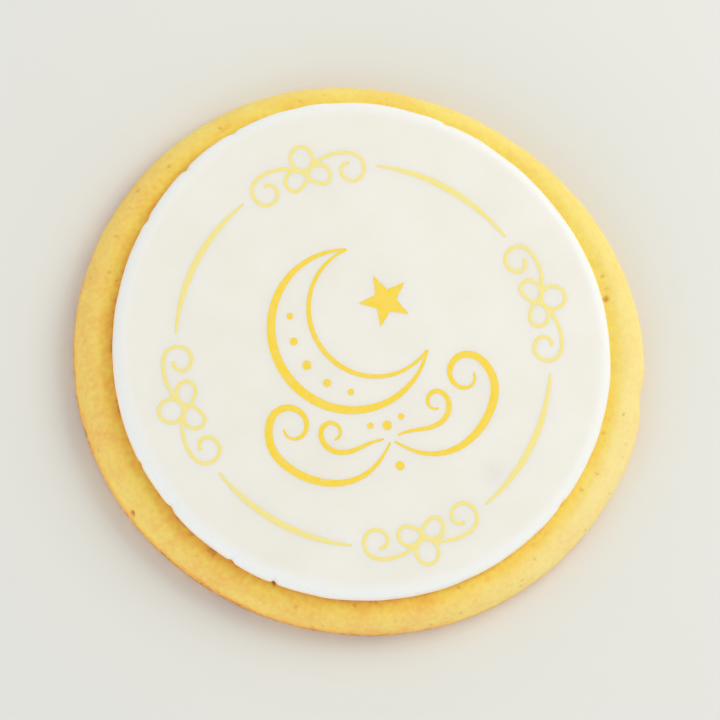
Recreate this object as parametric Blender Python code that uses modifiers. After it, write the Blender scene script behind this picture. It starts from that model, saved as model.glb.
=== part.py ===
"""A round butter biscuit topped with a disc of sugar icing that carries a golden printed ornament.

Metres, +Z up. The underside lies on Z = 0, with the origin below the middle of the biscuit's outline,
and +Y is the upright direction of the print.
"""

import math

import bmesh
import bpy
from mathutils import Matrix, Vector, noise

MM = 0.001

# The biscuit
BISCUIT_RADIUS = 38.0 * MM
BISCUIT_THICKNESS = 6.1 * MM
TOP_EDGE_REACH = 3.4 * MM
TOP_EDGE_DROP = 3.5 * MM
FOOT_EDGE_REACH = 1.0 * MM
FOOT_EDGE_RISE = 1.5 * MM
# Harmonics of the hand-cut outline: order, size, heading in degrees
BISCUIT_WOBBLE = ((2, 0.61 * MM, -26), (3, 0.17 * MM, -27), (4, 0.11 * MM, -6))
CRUMB_RELIEF = 0.09 * MM
CRUMB_SPACING = 5.5 * MM
CHIP_HEADING = -24.6
CHIP_HALF_SPAN = 3.4
CHIP_DEPTH = 0.55 * MM

# The disc of icing on it
CONTACT_GAP = 0.3 * MM
ICING_RADIUS = 33.7 * MM
ICING_THICKNESS = 2.4 * MM
ICING_EDGE_REACH = 1.5 * MM
ICING_EDGE_DROP = 1.5 * MM
ICING_FOOT_REACH = 0.35 * MM
ICING_FOOT_RISE = 0.5 * MM
ICING_WOBBLE = ((2, 0.23 * MM, 72), (3, 0.21 * MM, -27), (4, 0.06 * MM, -2))
ICING_OFFSET = Vector((-0.50, 0.25, 0.0)) * MM
ICING_TOP = BISCUIT_THICKNESS + CONTACT_GAP + ICING_THICKNESS

# How the printed lines stand on the icing's flat top
PRINT_RELIEF = 0.20 * MM
PATCH_RELIEF = 0.22 * MM
PRINT_SINK = 0.02 * MM
PRINT_ROOT = 0.40 * MM

# The printed design is drawn in millimetres from its own centre, +Y up, with headings in degrees.
# Widths are those of the pen at the ends and in the middle of a line.
PRINT_CENTRE = Vector((-0.81, -0.67))
PRINT_STRETCH = 0.0157
PRINT_STRETCH_HEADING = 70
RING_RADIUS = 25.6
ARC_HALF_SPAN = 23.0
ARC_WIDTHS = (0.30, 0.86)

# A flourish of the ring, from its own centre, +Y outwards
FLOURISH_WIDTHS = (0.56, 0.56)
OUTWARD_PETAL = ((0.0, 0.00), (0.66, 0.34), (1.50, 0.98), (1.60, 2.02), (1.20, 3.12), (0.0, 3.72))
SIDE_PETAL = ((-0.30, -0.80), (0.46, 0.06), (1.34, 0.62), (2.44, 0.46), (3.28, -0.46), (3.12, -1.74),
              (2.16, -2.40), (1.04, -1.88))
SCROLL_LEAD = ((1.40, 0.76), (2.80, 1.22), (4.40, 1.40))
SCROLL_CENTRE = (6.16, -1.12)
SCROLL_RADII = (2.26, 2.00, 2.06, 1.72, 0.72)

# The ornament in the middle: a crescent over scrolls, a star and beads, each bead a place and a radius
MOON_CENTRE = (-0.8, 3.6)
MOON_RADIUS = 10.8
MOON_HOLLOW_RADIUS = 8.9
MOON_HOLLOW_SHIFT = 4.2
MOON_HEADING = 22
MOON_OUTER_WIDTHS = (0.36, 1.35)
MOON_INNER_WIDTHS = (0.36, 0.74)
MOON_BEADS = ((0, 0.62), (21, 0.54), (-21, 0.54), (41, 0.44), (-41, 0.44))
STAR_CENTRE = (5.0, 6.0)
STAR_RADIUS = 3.7
STAR_WAIST = 0.42
STAR_HEADING = 98
STAR_CORNERS = 10
CRADLE_WIDTHS = (0.30, 1.20)
CRADLE_LEAD = ((0.3, -12.3), (2.6, -14.6), (6.2, -16.0), (10.6, -15.2), (14.2, -12.4), (16.1, -9.3))
CRADLE_CENTRE = (12.6, -6.6)
CRADLE_RADII = (3.35, 3.00, 2.45, 1.80, 1.05)
VINE_WIDTHS = (0.30, 0.78)
VINE_LEAD = ((1.0, -11.6), (3.0, -11.5), (5.2, -12.0), (7.4, -11.8), (8.9, -10.5))
VINE_CENTRE = (7.5, -9.0)
VINE_RADII = (1.70, 1.72, 1.32, 0.80)
BEADS = (((0.0, -15.6), 0.62), ((0.0, -10.0), 0.62), ((-2.2, -9.4), 0.42), ((2.2, -9.4), 0.42))

# Facets, with the steps along printed lines in millimetres
TURN_STEPS = 128
EDGE_STEPS = 6
ARC_STEP = 1.7
BOLD_STEP = 0.95
LINE_STEP = 0.62
BEAD_SIDES = 8
SMOOTH_UP_TO = 35
WELD = 0.001 * MM


def linear(red, green, blue):
    """Scene-linear colour of an 8-bit sRGB one."""
    return tuple((value / 255 / 12.92) if value < 11 else ((value / 255 + 0.055) / 1.055) ** 2.4
                 for value in (red, green, blue))


def make_material(name, colour, roughness):
    material = bpy.data.materials.new(name)
    material.use_nodes = True
    shader = material.node_tree.nodes["Principled BSDF"]
    shader.inputs["Base Color"].default_value = (*colour, 1.0)
    shader.inputs["Roughness"].default_value = roughness
    shader.inputs["Metallic"].default_value = 0.0
    material.diffuse_color = (*colour, 1.0)
    return material


def quarter_ellipse(centre_radius, centre_height, reach, rise, start, end):
    """Points of a quarter ellipse in the profile plane, from one angle to another in degrees."""
    points = []
    for step in range(EDGE_STEPS + 1):
        angle = math.radians(start + (end - start) * step / EDGE_STEPS)
        points.append((centre_radius + reach * math.cos(angle), centre_height + rise * math.sin(angle)))
    return points


def disc_profile(radius, base, top, edge_reach, edge_drop, foot_reach, foot_rise):
    """Outer side of a flat disc with rounded edges, from its top face down to its foot."""
    upper = quarter_ellipse(radius - edge_reach, top - edge_drop, edge_reach, edge_drop, 90, 0)
    lower = quarter_ellipse(radius - foot_reach, base + foot_rise, foot_reach, foot_rise, 0, -90)
    return upper + lower


def outline_factor(angle, radius, wobble):
    """How far the outline at this angle departs from a circle, as a factor on the radius."""
    return 1 + sum(size * math.cos(order * (angle - math.radians(heading)))
                   for order, size, heading in wobble) / radius


def turned_disc(name, profile, radius, wobble, offset, collection, material):
    """Turns the profile with a Screw, closes both faces and gives the outline its wobble."""
    mesh = bpy.data.meshes.new(name)
    bm = bmesh.new()
    corners = [bm.verts.new((distance, 0.0, height)) for distance, height in profile]
    for upper, lower in zip(corners, corners[1:]):
        bm.edges.new((upper, lower))
    bm.to_mesh(mesh)
    bm.free()
    disc = bpy.data.objects.new(name, mesh)
    collection.objects.link(disc)
    turn = disc.modifiers.new("Turn", "SCREW")
    turn.steps = TURN_STEPS
    turn.render_steps = TURN_STEPS
    turn.use_merge_vertices = True
    turn.merge_threshold = WELD
    turn.use_smooth_shade = True
    settle(disc)

    bm = bmesh.new()
    bm.from_mesh(disc.data)
    bmesh.ops.holes_fill(bm, edges=[edge for edge in bm.edges if edge.is_boundary], sides=0)
    bmesh.ops.recalc_face_normals(bm, faces=bm.faces)
    for vertex in bm.verts:
        factor = outline_factor(math.atan2(vertex.co.y, vertex.co.x), radius, wobble)
        vertex.co = Vector((vertex.co.x * factor, vertex.co.y * factor, vertex.co.z)) + offset
    bm.to_mesh(disc.data)
    bm.free()
    disc.data.materials.append(material)
    return disc


def settle(piece):
    """Gives an object its evaluated mesh and clears its modifiers."""
    depsgraph = bpy.context.evaluated_depsgraph_get()
    evaluated = piece.evaluated_get(depsgraph)
    solid = bpy.data.meshes.new_from_object(evaluated, depsgraph=depsgraph)
    solid.name = piece.name
    rough = piece.data
    piece.modifiers.clear()
    piece.data = solid
    bpy.data.meshes.remove(rough)


def chip_depth(heading):
    """How far the small chip in the edge cuts in at this heading in degrees."""
    return CHIP_DEPTH * math.exp(-((heading - CHIP_HEADING) / CHIP_HALF_SPAN) ** 2)


def roughen(biscuit):
    """Shallow swells of the baked crumb and one chip on the side, none on the foot or the flat top."""
    for vertex in biscuit.data.vertices:
        if vertex.co.z < FOOT_EDGE_RISE / 2 or vertex.co.z > BISCUIT_THICKNESS - WELD:
            continue
        outward = Vector((vertex.co.x, vertex.co.y, 0.0)).normalized()
        swell = noise.noise(vertex.co / CRUMB_SPACING) * CRUMB_RELIEF
        heading = math.degrees(math.atan2(outward.y, outward.x))
        vertex.co += outward * (swell - chip_depth(heading))


def biscuit_solid(collection):
    profile = disc_profile(BISCUIT_RADIUS, 0.0, BISCUIT_THICKNESS, TOP_EDGE_REACH, TOP_EDGE_DROP,
                           FOOT_EDGE_REACH, FOOT_EDGE_RISE)
    crust = make_material("baked crust", linear(240, 206, 118), 0.75)
    biscuit = turned_disc("biscuit", profile, BISCUIT_RADIUS, BISCUIT_WOBBLE, Vector(), collection, crust)
    roughen(biscuit)
    return biscuit


def icing_solid(collection):
    profile = disc_profile(ICING_RADIUS, ICING_TOP - ICING_THICKNESS, ICING_TOP, ICING_EDGE_REACH,
                           ICING_EDGE_DROP, ICING_FOOT_REACH, ICING_FOOT_RISE)
    sugar = make_material("white sugar icing", linear(240, 237, 226), 0.45)
    return turned_disc("icing", profile, ICING_RADIUS, ICING_WOBBLE, ICING_OFFSET, collection, sugar)


def polar(centre, radius, heading):
    """A point of the print at a distance and a heading in degrees from a centre."""
    angle = math.radians(heading)
    return Vector((centre[0] + radius * math.cos(angle), centre[1] + radius * math.sin(angle)))


def arc_path(centre, radius, start, end, step):
    """Points about one step apart on an arc between two headings."""
    pieces = round(math.radians(abs(end - start)) * radius / step)
    return [polar(centre, radius, start + (end - start) * piece / pieces) for piece in range(pieces + 1)]


def smooth_path(corners, closed=False):
    """Points about one line step apart on a cubic B-spline, which rounds every corner evenly."""
    corners = [Vector(corner) for corner in corners]
    if closed:
        stops = [corners[-1]] + corners + corners[:2]
    else:
        stops = [corners[0] * 2 - corners[1]] + corners + [corners[-1] * 2 - corners[-2]]
    points = []
    for before, start, end, after in zip(stops, stops[1:], stops[2:], stops[3:]):
        middle = before + start * 4 + end
        slope = (end - before) * 3
        bend = (before - start * 2 + end) * 3
        twist = after - end * 3 + start * 3 - before
        pieces = max(1, round((end - start).length / LINE_STEP))
        for piece in range(pieces):
            t = piece / pieces
            points.append((middle + slope * t + bend * t ** 2 + twist * t ** 3) / 6)
    if not closed:
        points.append(corners[-1])
    return points


def scroll_path(lead, centre, radii, start, way):
    """A lead-in along its corners and a curl from its start heading, counter-clockwise where way is 1.

    The curl's corners have a radius for each quarter turn, and the eighths between them take the mean.
    """
    corners = list(lead)
    for eighth in range(2 * len(radii) - 1):
        radius = (radii[eighth // 2] + radii[(eighth + 1) // 2]) / 2
        corners.append(polar(centre, radius, start + way * 45 * eighth))
    return smooth_path(corners)


def mirrored(points):
    return [Vector((-point[0], point[1])) for point in points]


def on_ring(points, heading):
    """Moves points of a flourish out to the ring and turns them about the print's centre."""
    turn = Matrix.Rotation(math.radians(heading), 2)
    return [turn @ (Vector(point) + Vector((0.0, RING_RADIUS))) for point in points]


def penned(points, widths, closed=False):
    """A stroke: its points, the pen's width at each, from thin ends to a bold middle, and if it closes."""
    thin, bold = widths
    last = len(points) - 1
    swell = [thin + (bold - thin) * math.sin(math.pi * index / last) for index in range(len(points))]
    return points, swell, closed


def border_strokes():
    """Four tapering arcs, with a flourish of three petals and two scrolls between them."""
    outward = smooth_path(OUTWARD_PETAL + tuple(mirrored(OUTWARD_PETAL[-2:0:-1])), closed=True)
    side = smooth_path(SIDE_PETAL, closed=True)
    scroll = scroll_path(SCROLL_LEAD, SCROLL_CENTRE, SCROLL_RADII, 90, -1)
    strokes = []
    for heading in (0, 90, 180, 270):
        middle = heading + 45
        arc = arc_path((0, 0), RING_RADIUS, middle - ARC_HALF_SPAN, middle + ARC_HALF_SPAN, ARC_STEP)
        strokes.append(penned(arc, ARC_WIDTHS))
        for loop in (outward, side, mirrored(side)):
            strokes.append(penned(on_ring(loop, heading), FLOURISH_WIDTHS, closed=True))
        for curl in (scroll, mirrored(scroll)):
            strokes.append(penned(on_ring(curl, heading), FLOURISH_WIDTHS))
    return strokes


def moon_strokes():
    """Outline of the crescent: a bold outer arc and a finer inner one that meet at the horns."""
    hollow = polar(MOON_CENTRE, MOON_HOLLOW_SHIFT, MOON_HEADING)
    along = (MOON_RADIUS ** 2 - MOON_HOLLOW_RADIUS ** 2 + MOON_HOLLOW_SHIFT ** 2) / (2 * MOON_HOLLOW_SHIFT)
    outer_horn = math.degrees(math.acos(along / MOON_RADIUS))
    inner_horn = math.degrees(math.acos((along - MOON_HOLLOW_SHIFT) / MOON_HOLLOW_RADIUS))
    strokes = []
    for centre, radius, horn, widths in ((MOON_CENTRE, MOON_RADIUS, outer_horn, MOON_OUTER_WIDTHS),
                                         (hollow, MOON_HOLLOW_RADIUS, inner_horn, MOON_INNER_WIDTHS)):
        arc = arc_path(centre, radius, MOON_HEADING + horn, MOON_HEADING + 360 - horn, BOLD_STEP)
        strokes.append(penned(arc, widths))
    return strokes


def cradle_strokes():
    """Scrolls below the crescent, the same to the left and to the right."""
    strokes = []
    for lead, centre, radii, widths in ((CRADLE_LEAD, CRADLE_CENTRE, CRADLE_RADII, CRADLE_WIDTHS),
                                        (VINE_LEAD, VINE_CENTRE, VINE_RADII, VINE_WIDTHS)):
        scroll = scroll_path(lead, centre, radii, 0, 1)
        strokes.append(penned(scroll, widths))
        strokes.append(penned(mirrored(scroll), widths))
    return strokes


def star_outline():
    waist = STAR_RADIUS * STAR_WAIST
    turn = 360 / STAR_CORNERS
    return [polar(STAR_CENTRE, waist if corner % 2 else STAR_RADIUS, STAR_HEADING + turn * corner)
            for corner in range(STAR_CORNERS)]


def bead_outlines():
    """Round dots: a row inside the crescent, and some between the scrolls."""
    middle = polar(MOON_CENTRE, MOON_HOLLOW_SHIFT / 2, MOON_HEADING)
    band = (MOON_RADIUS + MOON_HOLLOW_RADIUS) / 2
    beads = [(polar(middle, band, MOON_HEADING + 180 + turn), radius) for turn, radius in MOON_BEADS]
    return [[polar(place, radius, 360 * side / BEAD_SIDES) for side in range(BEAD_SIDES)]
            for place, radius in beads + list(BEADS)]


def on_icing(point):
    """Place in the part of a point of the print, which was stretched a little as the disc was laid."""
    axis = polar((0, 0), 1, PRINT_STRETCH_HEADING)
    along = axis * axis.dot(point)
    across = point - along
    placed = PRINT_CENTRE + along * (1 + PRINT_STRETCH) + across * (1 - PRINT_STRETCH)
    return (placed.x * MM, placed.y * MM, 0.0, 1.0)


def curve_solid(name, curve, collection, material, shape):
    """Makes a curve object a closed mesh, passes its vertices through a shaping rule and drops the curve."""
    guide = bpy.data.objects.new(name, curve)
    collection.objects.link(guide)
    depsgraph = bpy.context.evaluated_depsgraph_get()
    mesh = bpy.data.meshes.new_from_object(guide.evaluated_get(depsgraph), depsgraph=depsgraph)
    bm = bmesh.new()
    bm.from_mesh(mesh)
    bmesh.ops.remove_doubles(bm, verts=bm.verts, dist=WELD)
    for vertex in bm.verts:
        vertex.co.z = shape(vertex.co.z)
    bmesh.ops.recalc_face_normals(bm, faces=bm.faces)
    bm.to_mesh(mesh)
    bm.free()
    mesh.materials.clear()
    mesh.materials.append(material)
    solid = bpy.data.objects.new(name, mesh)
    solid.matrix_world = guide.matrix_world
    collection.objects.link(solid)
    bpy.data.objects.remove(guide)
    bpy.data.curves.remove(curve)
    return solid


def ridge_height(height):
    """Crest, flanks and root of a printed line, from the height of its section's corner."""
    if height > WELD:
        return ICING_TOP + PRINT_RELIEF
    if height < -WELD:
        return ICING_TOP - PRINT_ROOT
    return ICING_TOP - PRINT_SINK


def patch_height(height):
    """Top and root of a printed patch, from the height of its corner."""
    return ICING_TOP + PATCH_RELIEF if height > 0 else ICING_TOP - PRINT_ROOT


def stroke_solid(name, stroke, collection, material):
    """One pen stroke: a flat-bottomed ridge along its path, as wide as the pen at each point."""
    points, widths, closed = stroke
    curve = bpy.data.curves.new(name, "CURVE")
    curve.dimensions = "3D"
    curve.twist_mode = "Z_UP"
    curve.bevel_depth = MM
    curve.bevel_resolution = 0
    curve.use_fill_caps = not closed
    spline = curve.splines.new("POLY")
    spline.points.add(len(points) - 1)
    spline.use_cyclic_u = closed
    for knot, point, width in zip(spline.points, points, widths):
        knot.co = on_icing(point)
        knot.radius = width / 2
    return curve_solid(name, curve, collection, material, ridge_height)


def patch_solid(name, outline, collection, material):
    """A printed patch of solid colour with a flat top."""
    curve = bpy.data.curves.new(name, "CURVE")
    curve.dimensions = "2D"
    curve.fill_mode = "BOTH"
    curve.extrude = PRINT_RELIEF
    spline = curve.splines.new("POLY")
    spline.points.add(len(outline) - 1)
    spline.use_cyclic_u = True
    for knot, point in zip(spline.points, outline):
        knot.co = on_icing(point)
    return curve_solid(name, curve, collection, material, patch_height)


def fuse_print(icing, collection):
    """Joins every printed line and patch to the icing by one union."""
    ink = make_material("golden print", linear(247, 214, 88), 0.45)
    strokes = border_strokes() + moon_strokes() + cradle_strokes()
    for index, stroke in enumerate(strokes):
        stroke_solid(f"stroke_{index:02d}", stroke, collection, ink)
    patches = [star_outline()] + bead_outlines()
    for index, outline in enumerate(patches):
        patch_solid(f"patch_{index:02d}", outline, collection, ink)
    union = icing.modifiers.new("Print", "BOOLEAN")
    union.operation = "UNION"
    union.solver = "EXACT"
    union.operand_type = "COLLECTION"
    union.collection = collection
    union.material_mode = "TRANSFER"
    settle(icing)
    for solid in list(collection.objects):
        mesh = solid.data
        bpy.data.objects.remove(solid)
        bpy.data.meshes.remove(mesh)
    bpy.data.collections.remove(collection)


def centre_outline(pieces):
    """Puts the middle of the biscuit's outline over the origin."""
    biscuit = pieces[0]
    xs = [vertex.co.x for vertex in biscuit.data.vertices]
    ys = [vertex.co.y for vertex in biscuit.data.vertices]
    middle = Vector(((min(xs) + max(xs)) / 2, (min(ys) + max(ys)) / 2, 0.0))
    for piece in pieces:
        for vertex in piece.data.vertices:
            vertex.co -= middle


def main():
    for leftover in list(bpy.data.objects):
        bpy.data.objects.remove(leftover)
    parts = bpy.data.collections.new("iced biscuit")
    prints = bpy.data.collections.new("print strokes")
    for collection in (parts, prints):
        bpy.context.scene.collection.children.link(collection)

    biscuit = biscuit_solid(parts)
    icing = icing_solid(parts)
    fuse_print(icing, prints)
    centre_outline([biscuit, icing])
    for piece in (biscuit, icing):
        piece.data.shade_smooth()
        piece.data.set_sharp_from_angle(angle=math.radians(SMOOTH_UP_TO))


main()
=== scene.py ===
"""The looks of an iced biscuit: baked butter biscuit, rolled sugar icing and a golden print.

Laid out as an add-on for Blender's 3D view and run as a script. Metres, +Z up, in the frame of the
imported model. Headings are degrees about +Z from +X, and +Y is the upright direction of the print.
"""

import math

import bmesh
import bpy
from bpy.props import FloatProperty, FloatVectorProperty, PointerProperty
from bpy.types import Operator, Panel, PropertyGroup
from mathutils import Matrix, Vector, noise


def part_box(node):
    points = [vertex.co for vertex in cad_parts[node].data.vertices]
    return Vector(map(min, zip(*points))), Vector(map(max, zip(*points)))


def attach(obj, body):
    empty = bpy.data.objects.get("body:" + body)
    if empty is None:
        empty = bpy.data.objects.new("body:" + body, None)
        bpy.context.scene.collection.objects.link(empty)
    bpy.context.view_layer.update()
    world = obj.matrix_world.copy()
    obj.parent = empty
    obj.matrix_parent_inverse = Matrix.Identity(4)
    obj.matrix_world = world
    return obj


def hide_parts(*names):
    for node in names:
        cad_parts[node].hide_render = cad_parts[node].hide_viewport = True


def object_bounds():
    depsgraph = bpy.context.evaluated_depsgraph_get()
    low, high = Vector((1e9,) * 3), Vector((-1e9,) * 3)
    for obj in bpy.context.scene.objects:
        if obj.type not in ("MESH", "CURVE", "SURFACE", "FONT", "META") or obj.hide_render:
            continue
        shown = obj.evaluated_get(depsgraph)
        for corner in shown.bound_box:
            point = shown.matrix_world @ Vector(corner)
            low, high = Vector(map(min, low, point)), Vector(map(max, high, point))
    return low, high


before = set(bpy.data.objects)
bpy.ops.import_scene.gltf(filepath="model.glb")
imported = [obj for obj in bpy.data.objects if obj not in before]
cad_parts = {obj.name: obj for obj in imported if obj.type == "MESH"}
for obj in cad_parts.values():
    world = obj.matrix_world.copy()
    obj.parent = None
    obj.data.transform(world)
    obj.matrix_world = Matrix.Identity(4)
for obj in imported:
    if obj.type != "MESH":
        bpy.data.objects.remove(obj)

bl_info = {
    "name": "Iced Biscuit",
    "version": (1, 0, 0),
    "blender": (4, 5, 0),
    "location": "View3D > Sidebar > Biscuit",
    "description": "Bakes a round biscuit, lays sugar icing on it and prints a golden ornament",
    "category": "Add Mesh",
}

MM = 0.001
CAD_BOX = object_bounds()
WHITE = (1.0, 1.0, 1.0)

# Outlines of the biscuit and of the icing: harmonics as order, size and heading
BISCUIT_WOBBLE = ((2, 0.61 * MM, -26), (3, 0.17 * MM, -27), (4, 0.11 * MM, -6))
ICING_WOBBLE = ((2, 0.23 * MM, 72), (3, 0.21 * MM, -27), (4, 0.06 * MM, -2))
ICING_OFFSET = Vector((-0.50, 0.25, 0.0)) * MM
OUTLINE_SAMPLES = 720

# Relief of the crust: slow swells on the side, fine crumb and scattered pores
SWELL_SPACING = 5.5 * MM
SWELL_RELIEF = 0.09 * MM
CRUMB_SPACING = 1.1 * MM
# Roughness, step and number of the crumb's octaves
CRUMB_NOISE = (1.0, 2.0, 3)
# Pores: the size of the cells that may hold one, the share of them that do, and its radius in cells
PORE_SPACING = 1.7 * MM
PORE_SHARE = 0.4
PORE_REACH = 0.24
PORE_LEAST = 0.6
# Chips in the edge: heading, half width in degrees and depth
CHIPS = ((-24.6, 3.4, 0.55 * MM),)
# Burst bubbles in the crust: heading, distance from the middle, height, radius and depth
BUBBLES = ((-3.5, 34.0 * MM, 6.1 * MM, 0.50 * MM, 0.40 * MM),
           (-1.3, 34.5 * MM, 6.1 * MM, 0.42 * MM, 0.15 * MM),
           (198.0, 37.8 * MM, 3.8 * MM, 0.55 * MM, 0.40 * MM),
           (119.0, 36.2 * MM, 5.8 * MM, 0.35 * MM, 0.20 * MM),
           (237.0, 35.9 * MM, 5.5 * MM, 0.32 * MM, 0.20 * MM),
           (230.7, 33.9 * MM, 6.1 * MM, 0.40 * MM, 0.30 * MM))
BUBBLE_LOBE = 0.5
BUBBLE_RAGGEDNESS = 0.5

# How the crust browns, with shade painted into it: what each cause adds to the tone, which runs
# from 0 for pale to 1 for brown.
# TONE_UNDERSIDE alone is taken off, towards the middle of the underside.
TONE_TOP = 0.27
TONE_SIDE = 0.44
TONE_FOOT = 0.16
TONE_UNDERSIDE = 0.20
TONE_PATCH = 0.10
TONE_STREAK = 0.11
# The lean is painted shade: browner on the side turned away from the light, paler on the side
# facing it
TONE_SHADE_LEAN = 0.20
# Beside the icing the crust darkens: partly browning, partly painted shade from the icing
TONE_SHELTER_SHADE = 0.13
TONE_CONTACT_SHADE = 0.19
# Bubbles grow darker by their depth: partly browning and partly painted shade in the hollow
TONE_BUBBLE = 0.50
PATCH_SPACING = 9 * MM
PATCH_PHASE = Vector((3.0, 5.0, 7.0))
STREAK_LENGTH = 6 * MM
STREAK_WIDTH = 0.8 * MM
# Heading of the side turned away from the light, where the lean paints the most shade
SHADED_SIDE_HEADING = 200
# Tone added to or taken from the rim about given headings: heading, half width in degrees and tone
RIM_TONE_PATCHES = ((140, 16, 0.06), (192, 9, -0.08), (226, 9, 0.08), (251, 12, 0.07),
                (306, 13, -0.04), (330, 8, 0.04))
# Heights between which the side grows browner, and how far the browning and painted shade beside
# the icing reach
SIDE_SPAN = (4.3 * MM, 0.8 * MM)
SHELTER_SHADE_WIDTH = 1.2 * MM
CONTACT_SHADE_WIDTH = 0.35 * MM
# Of a face's normal: how far up it points where shade is painted beside the icing, and how far down
# where it belongs to the underside
UPWARD = 0.3
DOWNWARD = (0.3, 0.9)

# The pale bloom on the open crust: some dry flour all round, and painted light thickest on the side
# that faces the light; both fade out towards the icing
BLOOM_SHARE = 0.10
PAINTED_LIGHT_PATCH = 0.21
PAINTED_LIGHT_HEADING = 320
PAINTED_LIGHT_FOCUS = 3
BLOOM_AND_LIGHT_FADE = (0.5 * MM, 3.0 * MM)

# Relief of the icing: it rests a hair deep in the crust, and its top has slow waves and a dent
CONTACT_SINK = 0.04 * MM
WAVE_SPACING = 13 * MM
DENT_PLACE = Vector((10.7, -20.9)) * MM
DENT_RADIUS = 1.8 * MM
DENT_DEPTH = 0.10 * MM
# Its cut edge ripples and is torn, and is whiter, partly drier and partly painted highlight, over
# these shares of its radius
EDGE_WAVES = 9.0
EDGE_WAVE_SIZE = 0.10 * MM
EDGE_WAVE_PHASE = 0.3
NICK_ZONE = (0.95, 0.985)
DRY_LIT_ZONE = (0.93, 0.985)
# Small tears in the cut edge: heading, half width in degrees and depth
NICKS = ((52, 0.9, 0.22 * MM), (103, 1.0, 0.18 * MM), (117, 0.8, 0.26 * MM),
         (132, 1.0, 0.20 * MM), (191, 0.7, 0.16 * MM), (203, 1.0, 0.24 * MM),
         (221, 0.7, 0.26 * MM), (231.6, 0.55, 0.38 * MM), (305, 0.9, 0.12 * MM))

# The printed design is drawn in millimetres from its own centre, +Y up.
# Widths are those of the pen at the ends and in the middle of a line.
PRINT_CENTRE = Vector((-0.81, -0.67))
PRINT_STRETCH = 0.0157
PRINT_STRETCH_HEADING = 70
# The film's edge and underside lie this deep in the icing, and each line this much above the last
FILM_EDGE = 0.003 * MM
FILM_ROOT = 0.06 * MM
FILM_LIFT = 0.0006 * MM
# Corners of the ink that turn by more than this many degrees are shaded sharp
SHARP_CORNER = 30

# The ring: four tapering arcs, and a flourish between them drawn from its own centre, +Y outwards
FLOURISH_HEADINGS = (0, 90, 180, 270)
ARC_TURN = 45
RING_RADIUS = 25.6
ARC_HALF_SPAN = 23.0
ARC_WIDTHS = (0.32, 0.92)
FLOURISH_WIDTHS = (0.52, 0.56)
OUTWARD_PETAL = ((0.0, 0.00), (0.66, 0.34), (1.50, 0.98), (1.60, 2.02), (1.20, 3.12), (0.0, 3.72))
SIDE_PETAL = ((-0.30, -0.80), (0.46, 0.06), (1.34, 0.62), (2.44, 0.46), (3.28, -0.46),
              (3.12, -1.74), (2.16, -2.40), (1.04, -1.88))
SCROLL_LEAD = ((1.40, 0.76), (2.80, 1.22), (4.40, 1.40))
SCROLL_CENTRE = (6.16, -1.12)
SCROLL_RADII = (2.26, 2.00, 2.06, 1.72, 0.72)
KNOTS = (((1.42, 0.66), 0.40), ((-1.42, 0.66), 0.40), ((0.0, -0.80), 0.32))

# The ornament in the middle: a crescent with a row of beads, each a turn and a radius, a star, and
# scrolls with some beads between them, each a place and a radius
MOON_CENTRE = (-0.8, 3.6)
MOON_RADIUS = 10.8
MOON_HOLLOW_RADIUS = 8.9
MOON_HOLLOW_SHIFT = 4.2
MOON_HEADING = 22
MOON_OUTER_WIDTHS = (0.36, 1.35)
MOON_INNER_WIDTHS = (0.36, 0.74)
MOON_BEADS = ((0, 0.62), (21, 0.54), (-21, 0.54), (41, 0.44), (-41, 0.44))
STAR_CENTRE = (5.0, 6.0)
STAR_RADIUS = 3.7
STAR_WAIST = 0.42
STAR_HEADING = 98
STAR_CORNERS = 10
CRADLE_WIDTHS = (0.30, 1.20)
CRADLE_LEAD = ((0.3, -12.3), (2.6, -14.6), (6.2, -16.0), (10.6, -15.2), (14.2, -12.4), (16.1, -9.3))
CRADLE_CENTRE = (12.6, -6.6)
CRADLE_RADII = (3.35, 3.00, 2.45, 1.80, 1.05)
VINE_WIDTHS = (0.30, 0.78)
VINE_LEAD = ((1.0, -11.6), (3.0, -11.5), (5.2, -12.0), (7.4, -11.8), (8.9, -10.5))
VINE_CENTRE = (7.5, -9.0)
VINE_RADII = (1.70, 1.72, 1.32, 0.80)
BEADS = (((0.0, -15.6), 0.62), ((0.0, -10.0), 0.62), ((-2.2, -9.4), 0.42), ((2.2, -9.4), 0.42))

# Facets: cells across each round face, which are larger where another piece hides it
CAP_CELLS = 208
HIDDEN_CAP_CELLS = 52
HIDDEN_CAP_SHARE = 0.97
ICING_CAP_CELLS = 168
ICING_HIDDEN_CELLS = 42
CELL = 0.30 * MM
# The crust is a plain hidden face within this share of the icing's radius
COVERED_SHARE = 0.87
SHOULDER_WIDTH = 2 * CELL
LINE_STEP = 0.16
PEN_ROUNDNESS = 2
PATCH_CUTS = 3
BEAD_SIDES = 28
WELD = 0.001 * MM

# Finishes: the middle span of a noise is stretched to a whole range, and specks fade over a span
NOISE_SPAN = (0.3, 0.7)
SPECK_SPAN = (0.15, 0.42)
GOLDEN_STOP = 0.38
AMBER_STOP = 0.75
# Pores and bubbles are darkened by their depth: painted shade in the hollows
HOLLOW_SHADE = 0.55
CRUST_SPECKS = 0.22
CRUST_ROUGHNESS = (0.62, 0.84)
CRUST_BUMP = 0.05 * MM
ICING_SPECKS = 0.25
ICING_ROUGHNESS = (0.40, 0.52)
ICING_BUMP = 0.006 * MM
INK_SPECKS = 0.18
INK_ROUGHNESS = (0.44, 0.56)

# The camera looks almost straight down, turned about its own axis
CAMERA_HEADING = 218.2
CAMERA_ELEVATION = 73.5
CAMERA_ROLL = -17.15
CAMERA_DISTANCE = 0.60
FRAMED_WIDTH = 96.15 * MM
SENSOR_WIDTH = 36.0
AIM_HEIGHT = 4.5 * MM
AIM_ASIDE = -0.375 * MM
AIM_UP = -0.85 * MM

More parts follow.
